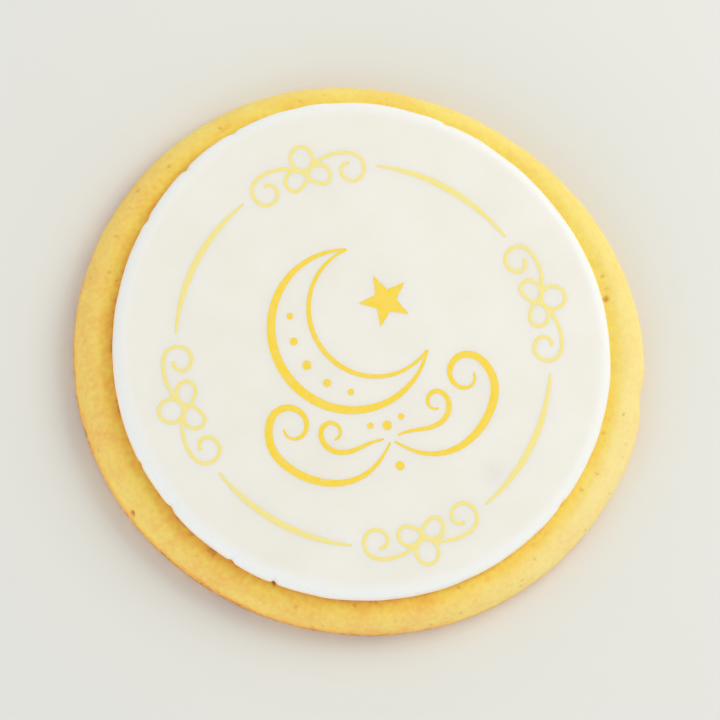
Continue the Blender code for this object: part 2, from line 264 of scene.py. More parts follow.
# The stage, with each light's heading, elevation, distance and side
FLOOR_RADIUS = 3.0
FLOOR_SIDES = 96
KEY_LIGHT = (15, 50, 0.60, 0.40)
FILL_LIGHT = (212, 26, 1.10, 0.90)


def linear(red, green, blue):
    """Scene-linear colour of an 8-bit sRGB one, by the standard's own numbers."""
    shares = (value / 255 for value in (red, green, blue))
    return tuple(share / 12.92 if share <= 0.04045 else ((share + 0.055) / 1.055) ** 2.4
                 for share in shares)


def length(name, description, default):
    return FloatProperty(name=name, description=description, default=default, min=0.0, precision=5,
                         subtype="DISTANCE", unit="LENGTH")


def colour(name, description, default):
    return FloatVectorProperty(name=name, description=description, default=linear(*default),
                               min=0.0, max=1.0, size=3, subtype="COLOR")


def light_strength(name, description, default):
    return FloatProperty(name=name, description=description, default=default, min=0.0)


def light_power(name, description, default):
    return FloatProperty(name=name, description=description, default=default, min=0.0,
                         subtype="POWER", unit="POWER")


class BiscuitSettings(PropertyGroup):
    """Sizes and colours of the baked biscuit."""

    radius: length("Radius", "Mean radius of the cut biscuit", 38.0 * MM)
    thickness: length("Thickness", "Height of the baked biscuit", 6.1 * MM)
    edge_reach: length("Edge Reach", "How far in the rounded upper edge starts", 3.4 * MM)
    edge_drop: length("Edge Drop", "How far down the rounded upper edge goes", 3.5 * MM)
    foot_reach: length("Foot Reach", "How far in the rounded foot goes", 1.0 * MM)
    foot_rise: length("Foot Rise", "How far up the rounded foot starts", 1.5 * MM)
    crumb_relief: length("Crumb Relief", "Height of the fine crumb on the crust", 0.07 * MM)
    pore_depth: length("Pore Depth", "Depth of the small pores in the crust", 0.15 * MM)
    # Pales the crust both as floury bloom and as painted light on the lit side
    bloom_and_light: colour("Bloom", "Colour of the dry, floury bloom on the crust", (251, 242, 216))
    pale: colour("Pale Crust", "Colour of the least baked crust", (251, 226, 108))
    golden: colour("Golden Crust", "Colour of most of the crust", (249, 211, 88))
    amber: colour("Amber Crust", "Colour of the crust low on the side", (246, 178, 68))
    brown: colour("Brown Crust", "Colour of the most baked crust", (192, 124, 54))


class IcingSettings(PropertyGroup):
    """Sizes and colours of the rolled sugar icing."""

    radius: length("Radius", "Mean radius of the disc of icing", 33.7 * MM)
    thickness: length("Thickness", "Thickness of the rolled icing", 2.4 * MM)
    gap: length("Gap", "Room that the solid model keeps below the icing", 0.3 * MM)
    edge_reach: length("Edge Reach", "How far in the rounded upper edge starts", 1.5 * MM)
    edge_drop: length("Edge Drop", "How far down the rounded upper edge goes", 1.5 * MM)
    foot_reach: length("Foot Reach", "How far in the rounded foot goes", 0.35 * MM)
    foot_rise: length("Foot Rise", "How far up the rounded foot starts", 0.5 * MM)
    waviness: length("Waviness", "Height of the slow waves on the rolled top", 0.045 * MM)
    white: colour("White", "Colour of the clean icing", (244, 241, 231))
    cream: colour("Cream", "Colour of the icing's warmer patches", (241, 237, 225))
    # Whiter edge: partly drier icing, partly painted highlight
    dry_lit_edge: colour("Dry Edge", "Colour of the drier edge", (245, 246, 241))
    # Painted shade in the one dent of the icing
    mark: colour("Mark", "Colour of the faint mark where the icing was pressed", (236, 233, 224))


class PrintSettings(PropertyGroup):
    """Thickness and colours of the edible ink."""

    film: length("Film", "Thickness of the dried ink", 0.01 * MM)
    border_ink: colour("Border Ink", "Ink of the ring and its flourishes", (249, 232, 136))
    ornament_ink: colour("Ornament Ink", "Ink of the ornament in the middle", (253, 217, 38))


class StageSettings(PropertyGroup):
    """Colour of the floor, and colours and strengths of the lights."""

    floor: colour("Floor", "Colour of the floor", (233, 233, 226))
    sky: colour("Sky", "Colour of the light from all round", (252, 253, 255))
    key: colour("Key", "Colour of the large soft light", (255, 251, 243))
    fill: colour("Fill", "Colour of the wider light opposite", (236, 244, 255))
    zenith: light_strength("Zenith", "Strength of the light from above", 0.40)
    horizon: light_strength("Horizon", "Strength of the light from all round, low down", 1.16)
    key_power: light_power("Key Power", "Power of the large soft light", 1.4)
    fill_power: light_power("Fill Power", "Power of the wider light opposite", 2.8)


class IcedBiscuitSettings(PropertyGroup):
    """Everything that can be set about the iced biscuit and its stage."""

    biscuit: PointerProperty(type=BiscuitSettings, name="Biscuit", description="The baked biscuit")
    icing: PointerProperty(type=IcingSettings, name="Icing", description="The rolled sugar icing")
    ink: PointerProperty(type=PrintSettings, name="Print", description="The printed design")
    stage: PointerProperty(type=StageSettings, name="Stage", description="The floor and the lights")


# Shapes


def smoothstep(low, high, value):
    share = min(1.0, max(0.0, (value - low) / (high - low)))
    return share * share * (3 - 2 * share)


def polar(centre, radius, heading):
    """A flat point at a distance and a heading from a centre."""
    angle = math.radians(heading)
    return Vector((centre[0] + radius * math.cos(angle), centre[1] + radius * math.sin(angle)))


def outline_factor(angle, radius, wobble):
    """How far the outline at this angle departs from a circle, as a factor on the radius."""
    return 1 + sum(size * math.cos(order * (angle - math.radians(heading)))
                   for order, size, heading in wobble) / radius


def icing_outline(angle, radius):
    """A point of the icing's outline, before the outlines are centred."""
    reach = radius * outline_factor(angle, radius, ICING_WOBBLE)
    return Vector((reach * math.cos(angle), reach * math.sin(angle), 0.0)) + ICING_OFFSET


def beyond_icing(place, radius):
    """How far a place is outside the icing's outline, before the outlines are centred."""
    aside = place - ICING_OFFSET
    angle = math.atan2(aside.y, aside.x)
    return aside.xy.length - radius * outline_factor(angle, radius, ICING_WOBBLE)


def outline_shift(radius):
    """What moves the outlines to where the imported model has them, found from the icing's box."""
    turn = math.tau / OUTLINE_SAMPLES
    points = [icing_outline(turn * sample, radius) for sample in range(OUTLINE_SAMPLES)]
    xs = [point.x for point in points]
    ys = [point.y for point in points]
    middle = Vector(((min(xs) + max(xs)) / 2, (min(ys) + max(ys)) / 2, 0.0))
    lowest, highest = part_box("icing")
    packed = (lowest + highest) / 2
    return Vector((packed.x - middle.x, packed.y - middle.y, 0.0))


def quarter_ellipse(centre, reach, rise, start, end):
    """Points about one cell apart on a quarter ellipse in the profile plane."""
    pieces = round(math.pi / 4 * (reach + rise) / CELL)
    points = []
    for piece in range(pieces + 1):
        angle = math.radians(start + (end - start) * piece / pieces)
        points.append((centre[0] + reach * math.cos(angle), centre[1] + rise * math.sin(angle)))
    return points


def straight(start, end):
    """Points about one cell apart from a start to just short of an end."""
    pieces = max(1, round(math.dist(start, end) / CELL))
    return [tuple(Vector(start).lerp(end, piece / pieces)) for piece in range(pieces)]


def disc_profile(size, base, top, inner):
    """Outer side of a disc with rounded edges, from a ring on its flat top down to its foot."""
    shoulder = size.radius - size.edge_reach
    upper = quarter_ellipse((shoulder, top - size.edge_drop), size.edge_reach, size.edge_drop,
                            90, 0)
    lower = quarter_ellipse((size.radius - size.foot_reach, base + size.foot_rise),
                            size.foot_reach, size.foot_rise, 0, -90)
    return straight((inner, top), upper[0]) + upper[:-1] + straight(upper[-1], lower[0]) + lower


def spin_wall(bm, profile, steps):
    """Turns an open profile about the Z axis."""
    corners = [bm.verts.new((distance, 0.0, height)) for distance, height in profile]
    edges = [bm.edges.new(pair) for pair in zip(corners, corners[1:])]
    bmesh.ops.spin(bm, geom=corners + edges, cent=(0, 0, 0), axis=(0, 0, 1), dvec=(0, 0, 0),
                   angle=math.tau, space=Matrix(), steps=steps, use_merge=True,
                   use_normal_flip=False, use_duplicate=False)


def round_cap(bm, cells, radius, height):
    """A flat disc of even cells, whose rim has four equal edges for each cell across."""
    grid = bmesh.ops.create_grid(bm, x_segments=cells, y_segments=cells, size=1.0)["verts"]
    for vertex in grid:
        x, y = vertex.co.xy
        if abs(x) >= abs(y):
            reach, angle = x, math.pi / 4 * (y / x if x else 0.0)
        else:
            reach, angle = y, math.pi / 4 * (2 - x / y)
        vertex.co = (radius * reach * math.cos(angle), radius * reach * math.sin(angle), height)
    return grid


def close_hidden(bm, cells, radius, height):
    """Closes a wide ring at a height with a coarser disc, where another piece hides it."""
    ring = [edge for edge in bm.edges
            if edge.is_boundary and all(abs(vertex.co.z - height) < WELD for vertex in edge.verts)]
    cap = set(round_cap(bm, cells, radius * HIDDEN_CAP_SHARE, height))
    rim = [edge for edge in bm.edges if edge.is_boundary and cap.issuperset(edge.verts)]
    bmesh.ops.bridge_loops(bm, edges=ring + rim)


def weld(bm):
    """Merges the rims that meet and points every face outwards."""
    rims = [vertex for vertex in bm.verts if vertex.is_boundary]
    bmesh.ops.remove_doubles(bm, verts=rims, dist=WELD)
    bmesh.ops.recalc_face_normals(bm, faces=bm.faces)
    bm.normal_update()


def finish_piece(name, bm, material, node):
    """Makes the piece's object from its mesh, rides it on the part and hides the part that it
    stands in for.
    """
    mesh = bpy.data.meshes.new(name)
    bm.to_mesh(mesh)
    bm.free()
    mesh.shade_smooth()
    mesh.materials.append(material)
    piece = bpy.data.objects.new(name, mesh)
    bpy.context.scene.collection.objects.link(piece)
    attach(piece, "root")
    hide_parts(node)
    return piece


def sum_round(heading, bumps):
    """Sum at this heading of soft bumps round a rim: heading, half width in degrees and size."""
    total = 0.0
    for middle, half_width, size in bumps:
        turn = (heading - middle + 180) % 360 - 180
        total += size * math.exp(-(turn / half_width) ** 2)
    return total


# The crust's relief and tone


def pore_share(place):
    """How deep the scattered pores are at a place, from 0 to 1."""
    distances, centres = noise.voronoi(place / PORE_SPACING)
    chance = (noise.cell(centres[0]) + 1) / 2
    if chance > PORE_SHARE:
        return 0.0
    reach = PORE_REACH * (PORE_LEAST + chance)
    return max(0.0, 1 - (distances[0] / reach) ** 2) ** 2


def bubble_depth(place):
    """How deep the burst bubbles are at a place."""
    depth = 0.0
    for heading, distance, height, radius, deepest in BUBBLES:
        middle = Vector((*polar((0, 0), distance, heading), height))
        aside = (place - middle).length
        ragged = 1 + BUBBLE_RAGGEDNESS * noise.noise(place / (radius * BUBBLE_LOBE))
        depth = max(depth, deepest * max(0.0, 1 - (aside / (radius * ragged)) ** 2))
    return depth


def streak_tone(place):
    """Faint streaks that run round with the cut edge, from -1 to 1."""
    reach = place.xy.length
    along = place.xy.normalized() * (CAD_BOX[1][0] / STREAK_LENGTH)
    return noise.noise(Vector((along.x, along.y, (reach + place.z) / STREAK_WIDTH)))


def contact_browning_and_shade(beyond):
    """Tone that the crust gains beside the icing, partly browning and partly painted contact shade,
    by its distance beyond the icing's outline.
    """
    beyond = max(0.0, beyond)
    return (TONE_SHELTER_SHADE * math.exp(-beyond / SHELTER_SHADE_WIDTH)
            + TONE_CONTACT_SHADE * math.exp(-beyond / CONTACT_SHADE_WIDTH))


def bloom_and_light_share(angle, beyond):
    """Floury bloom and painted light at an angle round the crust and a distance beyond the icing's
    outline.
    """
    facing = max(0.0, math.cos(angle - math.radians(PAINTED_LIGHT_HEADING)))
    return (BLOOM_SHARE + PAINTED_LIGHT_PATCH * facing ** PAINTED_LIGHT_FOCUS) * smoothstep(*BLOOM_AND_LIGHT_FADE, beyond)


def shape_crust(bm, size, shift, icing_radius):
    """Gives the biscuit its outline, its relief and the shares that its material colours it by."""
    browning = bm.verts.layers.float.new("browning")
    bloom_and_light = bm.verts.layers.float.new("bloom_and_light")
    hollow = bm.verts.layers.float.new("hollow")
    deepest = max(depth for *_, depth in BUBBLES)
    for vertex in bm.verts:
        flat = vertex.co.xy
        angle = math.atan2(flat.y, flat.x)
        heading = math.degrees(angle)
        factor = outline_factor(angle, size.radius, BISCUIT_WOBBLE)
        place = Vector((flat.x * factor, flat.y * factor, vertex.co.z))
        side = smoothstep(size.radius - size.edge_reach, size.radius, flat.length)
        raised = smoothstep(0.0, size.foot_rise, place.z)
        swell = noise.noise(place / SWELL_SPACING) * SWELL_RELIEF
        crumb = noise.fractal(place / CRUMB_SPACING, *CRUMB_NOISE) * size.crumb_relief
        pore = pore_share(place)
        bubble = bubble_depth(place)
        relief = swell * side + crumb - pore * size.pore_depth - bubble
        chip = sum_round(heading, CHIPS) * side * raised
        place += vertex.normal * relief - Vector((math.cos(angle), math.sin(angle), 0.0)) * chip
        place.z = max(0.0, place.z)

        beyond = beyond_icing(place, icing_radius)
        lower = smoothstep(*SIDE_SPAN, place.z)
        under = smoothstep(size.radius, 0.0, flat.length) * smoothstep(*DOWNWARD, -vertex.normal.z)
        patch = noise.noise(PATCH_PHASE + place / PATCH_SPACING)
        tone = TONE_TOP + TONE_PATCH * patch + TONE_STREAK * streak_tone(place)
        tone += TONE_SIDE * lower
        tone += TONE_FOOT * smoothstep(size.foot_rise, 0.0, place.z)
        tone -= TONE_UNDERSIDE * under
        # Painted shade: browner on the side turned away from the light, paler on the lit side
        tone += TONE_SHADE_LEAN * raised * math.cos(angle - math.radians(SHADED_SIDE_HEADING))
        tone += raised * sum_round(heading, RIM_TONE_PATCHES)
        # Painted shade, with some browning, where the icing shelters the crust
        if vertex.normal.z > UPWARD:
            tone += contact_browning_and_shade(beyond)
        # Bubbles darken by their depth: partly browning, partly painted shade
        vertex[browning] = tone + TONE_BUBBLE * bubble / deepest
        # Floury bloom, and painted light on the side that faces the light
        vertex[bloom_and_light] = bloom_and_light_share(angle, beyond) * (1 - lower)
        vertex[hollow] = max(pore, bubble / deepest)
        vertex.co = place + shift


# The icing's relief


def dent_share(place):
    """How much of the one dent's depth is felt at a place, from 0 to 1."""
    return math.exp(-((place.xy - DENT_PLACE).length / DENT_RADIUS) ** 2)


def icing_wave(place, waviness):
    """Height of the slow waves and of the one dent in the rolled top."""
    wave = noise.noise(Vector((place.x, place.y, 0.0)) / WAVE_SPACING) * waviness
    return wave - DENT_DEPTH * dent_share(place)


def shape_icing(bm, size, base, top, shift):
    """Gives the icing its outline, its relief and the shares that its material colours it by."""
    dryness_and_highlight = bm.verts.layers.float.new("dryness_and_highlight")
    painted_dent_shade = bm.verts.layers.float.new("painted_dent_shade")
    for vertex in bm.verts:
        flat = vertex.co.xy
        angle = math.atan2(flat.y, flat.x)
        edge = smoothstep(*NICK_ZONE, flat.length / size.radius)
        outward = Vector((math.cos(angle), math.sin(angle), EDGE_WAVE_PHASE))
        ripple = noise.noise(outward * EDGE_WAVES) * EDGE_WAVE_SIZE
        cut = sum_round(math.degrees(angle), NICKS) - ripple
        factor = outline_factor(angle, size.radius, ICING_WOBBLE) - edge * cut / size.radius
        place = Vector((flat.x * factor, flat.y * factor, vertex.co.z)) + ICING_OFFSET
        place.z += icing_wave(place, size.waviness) * smoothstep(base, top, vertex.co.z)
        # Whiter towards the edge: partly drier icing, partly painted highlight
        vertex[dryness_and_highlight] = smoothstep(*DRY_LIT_ZONE, flat.length / size.radius)
        # Painted shade in the dent
        vertex[painted_dent_shade] = dent_share(place)
        vertex.co = place + shift


# The printed design


def arc_path(centre, radius, start, end):
    """Points about one line step apart on an arc between two headings."""
    pieces = round(math.radians(abs(end - start)) * radius / LINE_STEP)
    return [polar(centre, radius, start + (end - start) * piece / pieces)
            for piece in range(pieces + 1)]


def smooth_path(corners, closed=False):
    """Points about one line step apart on a cubic B-spline, which rounds every corner evenly."""
    corners = [Vector(corner) for corner in corners]
    if closed:
        stops = [corners[-1]] + corners + corners[:2]
    else:
        stops = [corners[0] * 2 - corners[1]] + corners + [corners[-1] * 2 - corners[-2]]
    points = []
    for before, start, end, after in zip(stops, stops[1:], stops[2:], stops[3:]):
        middle = before + start * 4 + end
        slope = (end - before) * 3
        bend = (before - start * 2 + end) * 3
        twist = after - end * 3 + start * 3 - before
        pieces = max(1, round((end - start).length / LINE_STEP))
        for piece in range(pieces):
            t = piece / pieces
            points.append((middle + slope * t + bend * t ** 2 + twist * t ** 3) / 6)
    if not closed:
        points.append(corners[-1])
    return points


def scroll_path(lead, centre, radii, start, way):
    """A lead-in along its corners and a curl from its start heading, clockwise where way is -1.

    The curl has a radius for each quarter turn, and the eighths between them take the mean.
    """
    corners = list(lead)
    for eighth in range(2 * len(radii) - 1):
        radius = (radii[eighth // 2] + radii[(eighth + 1) // 2]) / 2
        corners.append(polar(centre, radius, start + way * 45 * eighth))
    return smooth_path(corners)


def mirrored(points):
    return [Vector((-point[0], point[1])) for point in points]


def on_ring(points, heading):
    """Moves points of a flourish out to the ring and turns them about the print's centre."""
    turn = Matrix.Rotation(math.radians(heading), 2)
    return [turn @ (Vector(point) + Vector((0.0, RING_RADIUS))) for point in points]


def penned(points, widths, closed=False):
    """A stroke: its points, the pen's width at each, and whether it closes.

    The pen swells from its width at the ends to its width in the middle.
    """
    thin, bold = widths
    last = len(points) - 1
    swell = [thin + (bold - thin) * math.sin(math.pi * index / last)
             for index in range(len(points))]
    return points, swell, closed


def ring_strokes():
    """Four tapering arcs, with a flourish of three petals and two scrolls between them."""
    outward = smooth_path(OUTWARD_PETAL + tuple(mirrored(OUTWARD_PETAL[-2:0:-1])), closed=True)
    side = smooth_path(SIDE_PETAL, closed=True)
    scroll = scroll_path(SCROLL_LEAD, SCROLL_CENTRE, SCROLL_RADII, start=90, way=-1)
    strokes = []
    for heading in FLOURISH_HEADINGS:
        middle = heading + ARC_TURN
        arc = arc_path((0, 0), RING_RADIUS, middle - ARC_HALF_SPAN, middle + ARC_HALF_SPAN)
        strokes.append(penned(arc, ARC_WIDTHS))
        for loop in (outward, side, mirrored(side)):
            strokes.append(penned(on_ring(loop, heading), FLOURISH_WIDTHS, closed=True))
        for curl in (scroll, mirrored(scroll)):
            strokes.append(penned(on_ring(curl, heading), FLOURISH_WIDTHS))
    return strokes


def ring_beads():
    """The knots where the petals of each flourish meet."""
    return [(on_ring([place], heading)[0], radius)
            for heading in FLOURISH_HEADINGS for place, radius in KNOTS]


def moon_strokes():
    """Outline of the crescent: a bold outer arc and a finer inner one that meet at the horns."""
    hollow = polar(MOON_CENTRE, MOON_HOLLOW_SHIFT, MOON_HEADING)
    squares = MOON_RADIUS ** 2 - MOON_HOLLOW_RADIUS ** 2 + MOON_HOLLOW_SHIFT ** 2
    along = squares / (2 * MOON_HOLLOW_SHIFT)
    strokes = []
    for centre, radius, reach, widths in (
            (MOON_CENTRE, MOON_RADIUS, along, MOON_OUTER_WIDTHS),
            (hollow, MOON_HOLLOW_RADIUS, along - MOON_HOLLOW_SHIFT, MOON_INNER_WIDTHS)):
        horn = math.degrees(math.acos(reach / radius))
        arc = arc_path(centre, radius, MOON_HEADING + horn, MOON_HEADING + 360 - horn)
        strokes.append(penned(arc, widths))
    return strokes


def cradle_strokes():
    """Scrolls below the crescent, the same to the left and to the right."""
    strokes = []
    for lead, centre, radii, widths in (
            (CRADLE_LEAD, CRADLE_CENTRE, CRADLE_RADII, CRADLE_WIDTHS),
            (VINE_LEAD, VINE_CENTRE, VINE_RADII, VINE_WIDTHS)):
        scroll = scroll_path(lead, centre, radii, start=0, way=1)
        strokes.append(penned(scroll, widths))
        strokes.append(penned(mirrored(scroll), widths))
    return strokes


def ornament_beads():
    """Round dots: a row inside the crescent, and some between the scrolls."""
    middle = polar(MOON_CENTRE, MOON_HOLLOW_SHIFT / 2, MOON_HEADING)
    band = (MOON_RADIUS + MOON_HOLLOW_RADIUS) / 2
    beads = [(polar(middle, band, MOON_HEADING + 180 + turn), radius)
             for turn, radius in MOON_BEADS]
    return beads + list(BEADS)


def on_icing(point):
    """Place on the icing of a point of the print, which stretched a little as the disc was laid."""
    axis = polar((0, 0), 1, PRINT_STRETCH_HEADING)
    along = axis * axis.dot(point)
    across = point - along
    placed = PRINT_CENTRE + along * (1 + PRINT_STRETCH) + across * (1 - PRINT_STRETCH)
    return Vector((placed.x * MM, placed.y * MM, 0.0))


def add_stroke(bm, points, widths, closed):
    """Adds a pen stroke, a tube along its path as wide as the pen, and gives its vertices."""
    curve = bpy.data.curves.new("stroke", "CURVE")
    curve.dimensions = "3D"
    curve.twist_mode = "Z_UP"
    curve.bevel_depth = MM
    curve.bevel_resolution = PEN_ROUNDNESS
    curve.use_fill_caps = not closed
    spline = curve.splines.new("POLY")
    spline.points.add(len(points) - 1)
    spline.use_cyclic_u = closed
    for knot, point, width in zip(spline.points, points, widths):
        knot.co = (*on_icing(point), 1.0)
        knot.radius = width / 2
    guide = bpy.data.objects.new("stroke", curve)
    mesh = bpy.data.meshes.new_from_object(guide)
    known = len(bm.verts)
    bm.from_mesh(mesh)
    bm.verts.ensure_lookup_table()
    bpy.data.objects.remove(guide)
    bpy.data.curves.remove(curve)
    bpy.data.meshes.remove(mesh)
    return bm.verts[known:]


def add_patch(bm, place, radius, corners=BEAD_SIDES, waist=1.0, heading=0):
    """Adds a round or star-shaped patch and gives its vertices.

    Its corners are counted from +Y, and every other one is drawn in to the waist.
    """
    known = len(bm.verts)
    patch = bmesh.ops.create_cone(bm, cap_ends=True, cap_tris=True, segments=corners, radius1=1.0,
                                  radius2=1.0, depth=MM)["verts"]
    for vertex in patch:
        turn = math.degrees(math.atan2(vertex.co.y, vertex.co.x))
        corner = round((turn - 90) * corners / 360)
        reach = radius * vertex.co.xy.length * (waist if corner % 2 else 1.0)
        vertex.co.xy = on_icing(polar(place, reach, heading + 360 / corners * corner)).xy
    upper = {edge for vertex in patch for edge in vertex.link_edges
             if all(end.co.z > 0 for end in edge.verts)}
    bmesh.ops.subdivide_edges(bm, edges=list(upper), cuts=PATCH_CUTS, use_grid_fill=True)
    bm.verts.ensure_lookup_table()
    return bm.verts[known:]


def lay_film(vertices, top, film, waviness, shift):
    """Flattens a stroke or a patch into a film of ink that lies on the waves of the icing.

    Its upper half becomes the film, its middle line the edge and its lower half the underside.
    """
    for vertex in vertices:
        if vertex.co.z > WELD:
            height = film
        elif vertex.co.z > -WELD:
            height = -FILM_EDGE
        else:
            height = -FILM_ROOT
        vertex.co.z = top + icing_wave(vertex.co, waviness) + height
        vertex.co += shift


def icing_top(settings):
    """Height of the icing's flat top."""
    return settings.biscuit.thickness + settings.icing.gap + settings.icing.thickness


def print_piece(name, strokes, patches, settings, ink):
    """Prints one part of the design, each stroke and patch a hair higher than the one before."""
    top = icing_top(settings)
    shift = outline_shift(settings.icing.radius)
    film = settings.ink.film
    bm = bmesh.new()
    for add, drawings in ((add_stroke, strokes), (add_patch, patches)):
        for drawing in drawings:
            lay_film(add(bm, *drawing), top, film, settings.icing.waviness, shift)
            film += FILM_LIFT
    weld(bm)
    material = ink_material(name.replace("_", " "), ink, settings.icing.white)
    piece = finish_piece(name, bm, material, "icing")
    piece.data.set_sharp_from_angle(angle=math.radians(SHARP_CORNER))


# Finishes


def add_node(tree, kind, inputs, **fields):
    """Adds a shader node, sets its fields, and sets or links its input sockets."""
    made = tree.nodes.new(kind)
    for field, value in fields.items():
        setattr(made, field, value)
    for socket, value in inputs.items():
        if isinstance(value, bpy.types.NodeSocket):
            tree.links.new(value, made.inputs[socket])
        else:
            made.inputs[socket].default_value = value
    return made


def add_math(tree, operation, first, second):
    return add_node(tree, "ShaderNodeMath", {0: first, 1: second}, operation=operation).outputs[0]


def add_blend(tree, share, first, second):
    """Blends a colour, or a socket that gives one, with a second colour by a share."""
    if not isinstance(first, bpy.types.NodeSocket):
        first = (*first, 1.0)
    blend = add_node(tree, "ShaderNodeMix", {0: share, 6: first, 7: (*second, 1.0)},
                     data_type="RGBA")
    return blend.outputs[2]


def add_ramp(tree, share, stops):
    """A colour ramp, its stops listed as a place and a colour."""
    ramp = add_node(tree, "ShaderNodeValToRGB", {"Fac": share})
    elements = ramp.color_ramp.elements
    while len(elements) < len(stops):
        elements.new(1.0)
    for element, (place, shade) in zip(elements, stops):
        element.position = place
        element.color = (*shade, 1.0)
    return ramp.outputs["Color"]


def add_range(tree, value, low, high, new_low, new_high):
    """Stretches the span from low to high of a value to a new one."""
    found = add_node(tree, "ShaderNodeMapRange", {
        "Value": value, "From Min": low, "From Max": high, "To Min": new_low, "To Max": new_high})
    return found.outputs["Result"]


def add_share(tree, name):
    """The share of this name that the mesh keeps at each vertex."""
    return add_node(tree, "ShaderNodeAttribute", {}, attribute_name=name).outputs["Fac"]


def new_group(name, inputs, outputs):
    """A shader node group with named number inputs besides its Vector, and named number outputs."""
    tree = bpy.data.node_groups.new(name, "ShaderNodeTree")
    tree.interface.new_socket(name="Vector", in_out="INPUT", socket_type="NodeSocketVector")
    for socket in inputs:
        tree.interface.new_socket(name=socket, in_out="INPUT", socket_type="NodeSocketFloat")
    for socket in outputs:
        tree.interface.new_socket(name=socket, in_out="OUTPUT", socket_type="NodeSocketFloat")
    return tree, tree.nodes.new("NodeGroupInput").outputs, tree.nodes.new("NodeGroupOutput").inputs


def mottling_group():
    """Soft uneven patches: a Value that drifts from Low to High over patches of a given Size."""
    name = "Mottling"
    if name in bpy.data.node_groups:
        return bpy.data.node_groups[name]
    tree, given, result = new_group(name, ("Size", "Low", "High"), ("Value",))
    scale = add_math(tree, "DIVIDE", 1.0, given["Size"])
    drift = add_node(tree, "ShaderNodeTexNoise", {
        "Vector": given["Vector"], "Scale": scale, "Detail": 2.0, "Roughness": 0.5})
    value = add_range(tree, drift.outputs["Fac"], *NOISE_SPAN, given["Low"], given["High"])
    tree.links.new(value, result["Value"])
    return tree


def grain_group():
    """Fine grain: a Height from 0 to 1 and a mask of scattered Specks, both at a given Size."""
    name = "Fine Grain"
    if name in bpy.data.node_groups:
        return bpy.data.node_groups[name]
    tree, given, result = new_group(name, ("Size", "Speck Share"), ("Height", "Specks"))
    scale = add_math(tree, "DIVIDE", 1.0, given["Size"])
    grain = add_node(tree, "ShaderNodeTexNoise", {
        "Vector": given["Vector"], "Scale": scale, "Detail": 3.0, "Roughness": 0.62})
    cells = add_node(tree, "ShaderNodeTexVoronoi", {"Vector": given["Vector"], "Scale": scale})
    chance = add_node(tree, "ShaderNodeSeparateColor", {0: cells.outputs["Color"]}).outputs[0]
    chosen = add_math(tree, "LESS_THAN", chance, given["Speck Share"])
    near = add_range(tree, cells.outputs["Distance"], *SPECK_SPAN, 1.0, 0.0)
    tree.links.new(grain.outputs["Fac"], result["Height"])
    tree.links.new(add_math(tree, "MULTIPLY", chosen, near), result["Specks"])
    return tree


def new_material(name, **constants):
    """A material with its Principled shader, whose unchanging values are set on its own sockets."""
    material = bpy.data.materials.new(name)
    material.use_nodes = True
    tree = material.node_tree
    shader = tree.nodes["Principled BSDF"]
    for socket, value in constants.items():
        shader.inputs[socket.replace("_", " ")].default_value = value
    place = tree.nodes.new("ShaderNodeTexCoord").outputs["Object"]
    return material, tree, shader, place


def use_group(tree, group, place, **values):
    """Places a node group with its own values and gives its outputs."""
    node = tree.nodes.new("ShaderNodeGroup")
    node.node_tree = group
    tree.links.new(place, node.inputs["Vector"])
    for socket, value in values.items():
        node.inputs[socket.replace("_", " ")].default_value = value
    return node.outputs


def finish_surface(tree, shader, shade, height, roughness, bump=0.0):
    """Gives a shader its colour, and the roughness and relief of its grain."""
    tree.links.new(shade, shader.inputs["Base Color"])
    tree.links.new(add_range(tree, height, *NOISE_SPAN, *roughness), shader.inputs["Roughness"])
    if bump:
        relief = add_node(tree, "ShaderNodeBump", {"Strength": 1.0, "Distance": bump,
                                                   "Height": height})
        tree.links.new(relief.outputs["Normal"], shader.inputs["Normal"])


def crust_material(colours):
    """Baked crust: pale to brown by the mesh's own tone, paler with bloom and painted light, darker
    with painted shade in its hollows, mottled, speckled, with a sandy grain.
    """
    material, tree, shader, place = new_material(
        "baked crust", Subsurface_Weight=0.12, Subsurface_Scale=0.8 * MM,
        Subsurface_Radius=(1.0, 0.55, 0.22), Specular_IOR_Level=0.35)
    browning = add_share(tree, "browning")
    bloom_and_light = add_share(tree, "bloom_and_light")
    hollow = add_share(tree, "hollow")
    mottling = mottling_group()
    patches = use_group(tree, mottling, place, Size=2.6 * MM, Low=-0.10, High=0.10)["Value"]
    crumbs = use_group(tree, mottling, place, Size=0.7 * MM, Low=-0.11, High=0.11)["Value"]
    grain = use_group(tree, grain_group(), place, Size=0.34 * MM, Speck_Share=0.10)
    tone = add_math(tree, "ADD", browning, add_math(tree, "ADD", patches, crumbs))
    shade = add_ramp(tree, tone, ((0.0, colours.pale), (GOLDEN_STOP, colours.golden),
                                  (AMBER_STOP, colours.amber), (1.0, colours.brown)))
    # Pales the crust: floury bloom, and painted light on the lit side
    shade = add_blend(tree, bloom_and_light, shade, colours.bloom_and_light)
    # Painted shade in the pores and bubbles, by their depth
    shade = add_blend(tree, add_math(tree, "MULTIPLY", hollow, HOLLOW_SHADE), shade, colours.brown)
    speck = add_math(tree, "MULTIPLY", grain["Specks"], CRUST_SPECKS)
    shade = add_blend(tree, speck, shade, colours.amber)
    finish_surface(tree, shader, shade, grain["Height"], CRUST_ROUGHNESS, CRUST_BUMP)
    return material


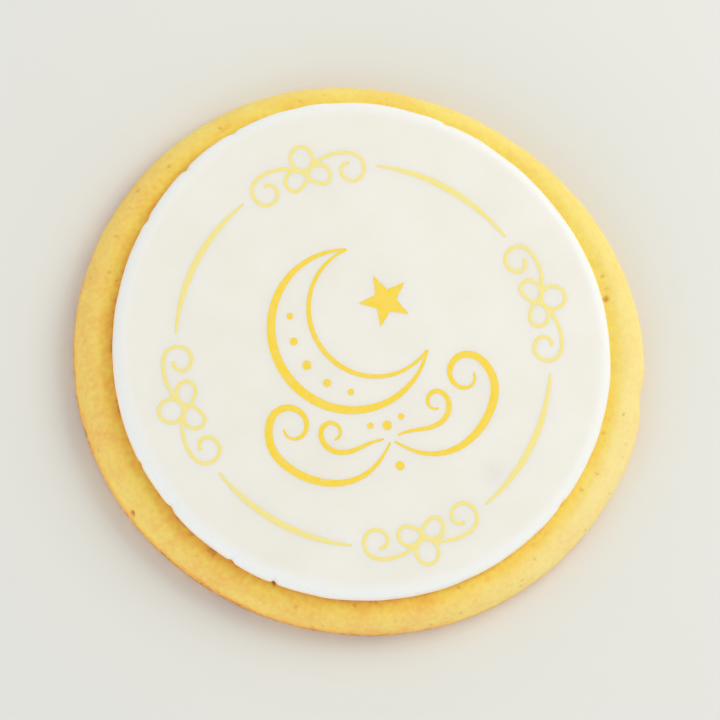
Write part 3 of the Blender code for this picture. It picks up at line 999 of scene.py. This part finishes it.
def icing_material(colours):
    """Rolled sugar icing: satin white, cream in patches, with a whiter edge of drier icing and
    painted highlight, and painted shade in its one dent.
    """
    material, tree, shader, place = new_material(
        "rolled sugar icing", Subsurface_Weight=0.35, Subsurface_Scale=1.2 * MM,
        Subsurface_Radius=(1.0, 0.9, 0.72), Specular_IOR_Level=0.4)
    patches = use_group(tree, mottling_group(), place, Size=7 * MM, Low=0.0, High=1.0)["Value"]
    grain = use_group(tree, grain_group(), place, Size=0.25 * MM, Speck_Share=0.05)
    shade = add_blend(tree, patches, colours.white, colours.cream)
    # Whiter edge: partly drier icing, partly painted highlight
    shade = add_blend(tree, add_share(tree, "dryness_and_highlight"), shade, colours.dry_lit_edge)
    # Painted shade in the dent
    shade = add_blend(tree, add_share(tree, "painted_dent_shade"), shade, colours.mark)
    speck = add_math(tree, "MULTIPLY", grain["Specks"], ICING_SPECKS)
    shade = add_blend(tree, speck, shade, WHITE)
    finish_surface(tree, shader, shade, grain["Height"], ICING_ROUGHNESS, ICING_BUMP)
    return material


def ink_material(name, ink, bare):
    """Edible ink: soaked a little unevenly into the icing, so that it pales in small patches."""
    material, tree, shader, place = new_material(name, Specular_IOR_Level=0.4)
    load = use_group(tree, mottling_group(), place, Size=0.9 * MM, Low=0.0, High=0.12)["Value"]
    grain = use_group(tree, grain_group(), place, Size=0.16 * MM, Speck_Share=0.20)
    speck = add_math(tree, "MULTIPLY", grain["Specks"], INK_SPECKS)
    shade = add_blend(tree, add_math(tree, "ADD", load, speck), ink, bare)
    finish_surface(tree, shader, shade, grain["Height"], INK_ROUGHNESS)
    return material


def floor_material(shade):
    """Matt pale floor with the faintest mottling."""
    material, tree, shader, place = new_material("pale floor", Specular_IOR_Level=0.2,
                                                 Roughness=0.6)
    light = use_group(tree, mottling_group(), place, Size=60 * MM, Low=0.0, High=0.04)["Value"]
    tree.links.new(add_blend(tree, light, shade, WHITE), shader.inputs["Base Color"])
    return material


# The stage


def from_middle(heading, elevation, distance):
    """A place seen from the middle of the part at a heading, an elevation and a distance."""
    turn, rise = math.radians(heading), math.radians(elevation)
    return distance * Vector((math.cos(turn) * math.cos(rise), math.sin(turn) * math.cos(rise),
                              math.sin(rise)))


def add_light(name, setting, power, tint):
    """A large soft square light that faces the middle of the part."""
    heading, elevation, distance, side = setting
    lamp = bpy.data.lights.new(name, "AREA")
    lamp.size = side
    lamp.energy = power
    lamp.color = tint
    light = bpy.data.objects.new(name, lamp)
    light.location = from_middle(heading, elevation, distance)
    light.rotation_euler = light.location.to_track_quat("Z", "Y").to_euler()
    bpy.context.scene.collection.objects.link(light)


def add_camera():
    """The camera, so far off that the biscuit fills most of the frame's width."""
    lens = bpy.data.cameras.new("camera")
    lens.sensor_width = SENSOR_WIDTH
    lens.lens = SENSOR_WIDTH * CAMERA_DISTANCE / FRAMED_WIDTH
    back = from_middle(CAMERA_HEADING, CAMERA_ELEVATION, 1.0)
    lean = Vector((0.0, 0.0, 1.0)).rotation_difference(back).to_matrix()
    turn = lean @ Matrix.Rotation(math.radians(CAMERA_ROLL), 3, "Z")
    aim = Vector((0.0, 0.0, AIM_HEIGHT)) + turn @ Vector((AIM_ASIDE, AIM_UP, 0.0))
    camera = bpy.data.objects.new("camera", lens)
    camera.matrix_world = Matrix.Translation(aim + back * CAMERA_DISTANCE) @ turn.to_4x4()
    bpy.context.scene.collection.objects.link(camera)
    bpy.context.scene.camera = camera


def add_sky(tint, zenith, horizon):
    """Soft light from all round, stronger low down than above, as in a light tent."""
    world = bpy.data.worlds.new("soft sky")
    world.use_nodes = True
    tree = world.node_tree
    background = tree.nodes["Background"]
    background.inputs["Color"].default_value = (*tint, 1.0)
    direction = tree.nodes.new("ShaderNodeTexCoord").outputs["Generated"]
    height = add_node(tree, "ShaderNodeSeparateXYZ", {0: direction}).outputs["Z"]
    strength = add_range(tree, height, 0.0, 1.0, horizon, zenith)
    tree.links.new(strength, background.inputs["Strength"])
    bpy.context.scene.world = world


def add_floor(shade):
    bm = bmesh.new()
    bmesh.ops.create_circle(bm, cap_ends=True, segments=FLOOR_SIDES, radius=FLOOR_RADIUS)
    mesh = bpy.data.meshes.new("floor")
    bm.to_mesh(mesh)
    bm.free()
    mesh.materials.append(floor_material(shade))
    floor = bpy.data.objects.new("floor", mesh)
    bpy.context.scene.collection.objects.link(floor)


# Operators


class BISCUIT_OT_bake(Operator):
    """Bake the round biscuit, with its uneven outline, crumb, pores and browned crust"""

    bl_idname = "iced_biscuit.bake"
    bl_label = "Bake Biscuit"
    bl_options = {"REGISTER", "UNDO"}

    def execute(self, context):
        settings = context.scene.iced_biscuit
        size = settings.biscuit
        bm = bmesh.new()
        inner = settings.icing.radius * COVERED_SHARE
        spin_wall(bm, disc_profile(size, 0.0, size.thickness, inner), 4 * CAP_CELLS)
        close_hidden(bm, HIDDEN_CAP_CELLS, inner, size.thickness)
        round_cap(bm, CAP_CELLS, size.radius - size.foot_reach, 0.0)
        weld(bm)
        shape_crust(bm, size, outline_shift(settings.icing.radius), settings.icing.radius)
        finish_piece("baked_biscuit", bm, crust_material(size), "biscuit")
        return {"FINISHED"}


class BISCUIT_OT_lay_icing(Operator):
    """Lay the rolled disc of sugar icing on the biscuit"""

    bl_idname = "iced_biscuit.lay_icing"
    bl_label = "Lay Icing"
    bl_options = {"REGISTER", "UNDO"}

    def execute(self, context):
        settings = context.scene.iced_biscuit
        size = settings.icing
        base = settings.biscuit.thickness - CONTACT_SINK
        top = icing_top(settings)
        bm = bmesh.new()
        inner = size.radius - size.edge_reach - SHOULDER_WIDTH
        spin_wall(bm, disc_profile(size, base, top, inner), 4 * ICING_CAP_CELLS)
        round_cap(bm, ICING_CAP_CELLS, inner, top)
        close_hidden(bm, ICING_HIDDEN_CELLS, size.radius - size.foot_reach, base)
        weld(bm)
        shape_icing(bm, size, base, top, outline_shift(size.radius))
        finish_piece("sugar_icing", bm, icing_material(size), "icing")
        return {"FINISHED"}


class BISCUIT_OT_print_ring(Operator):
    """Print the ring of arcs and flourishes on the icing"""

    bl_idname = "iced_biscuit.print_ring"
    bl_label = "Print Ring"
    bl_options = {"REGISTER", "UNDO"}

    def execute(self, context):
        settings = context.scene.iced_biscuit
        print_piece("ring_print", ring_strokes(), ring_beads(), settings, settings.ink.border_ink)
        return {"FINISHED"}


class BISCUIT_OT_print_ornament(Operator):
    """Print the crescent, star, scrolls and beads in the middle of the icing"""

    bl_idname = "iced_biscuit.print_ornament"
    bl_label = "Print Ornament"
    bl_options = {"REGISTER", "UNDO"}

    def execute(self, context):
        settings = context.scene.iced_biscuit
        strokes = moon_strokes() + cradle_strokes()
        star = (STAR_CENTRE, STAR_RADIUS, STAR_CORNERS, STAR_WAIST, STAR_HEADING)
        print_piece("ornament_print", strokes, [star, *ornament_beads()], settings,
                    settings.ink.ornament_ink)
        return {"FINISHED"}


class BISCUIT_OT_set_stage(Operator):
    """Set up the pale floor, the soft lights and the camera"""

    bl_idname = "iced_biscuit.set_stage"
    bl_label = "Set Stage"
    bl_options = {"REGISTER", "UNDO"}

    def execute(self, context):
        stage = context.scene.iced_biscuit.stage
        add_floor(stage.floor)
        add_sky(stage.sky, stage.zenith, stage.horizon)
        add_light("key light", KEY_LIGHT, stage.key_power, stage.key)
        add_light("fill light", FILL_LIGHT, stage.fill_power, stage.fill)
        add_camera()
        context.scene.view_settings.view_transform = "Standard"
        return {"FINISHED"}


class BISCUIT_PT_maker(Panel):
    """Lists the steps and the settings of the iced biscuit"""

    bl_idname = "BISCUIT_PT_maker"
    bl_label = "Iced Biscuit"
    bl_space_type = "VIEW_3D"
    bl_region_type = "UI"
    bl_category = "Biscuit"

    def draw(self, context):
        settings = context.scene.iced_biscuit
        for operator in OPERATORS:
            self.layout.operator(operator.bl_idname)
        for group in (settings.biscuit, settings.icing, settings.ink, settings.stage):
            box = self.layout.box()
            box.label(text=group.bl_rna.description)
            for name in group.__annotations__:
                box.prop(group, name)


OPERATORS = (BISCUIT_OT_bake, BISCUIT_OT_lay_icing, BISCUIT_OT_print_ring,
             BISCUIT_OT_print_ornament, BISCUIT_OT_set_stage)
CLASSES = (BiscuitSettings, IcingSettings, PrintSettings, StageSettings, IcedBiscuitSettings,
           *OPERATORS, BISCUIT_PT_maker)


def register():
    for kind in CLASSES:
        bpy.utils.register_class(kind)
    bpy.types.Scene.iced_biscuit = PointerProperty(type=IcedBiscuitSettings)


def unregister():
    del bpy.types.Scene.iced_biscuit
    for kind in reversed(CLASSES):
        bpy.utils.unregister_class(kind)


def main():
    register()
    bpy.ops.iced_biscuit.bake()
    bpy.ops.iced_biscuit.lay_icing()
    bpy.ops.iced_biscuit.print_ring()
    bpy.ops.iced_biscuit.print_ornament()
    bpy.ops.iced_biscuit.set_stage()


if __name__ == "__main__":
    main()
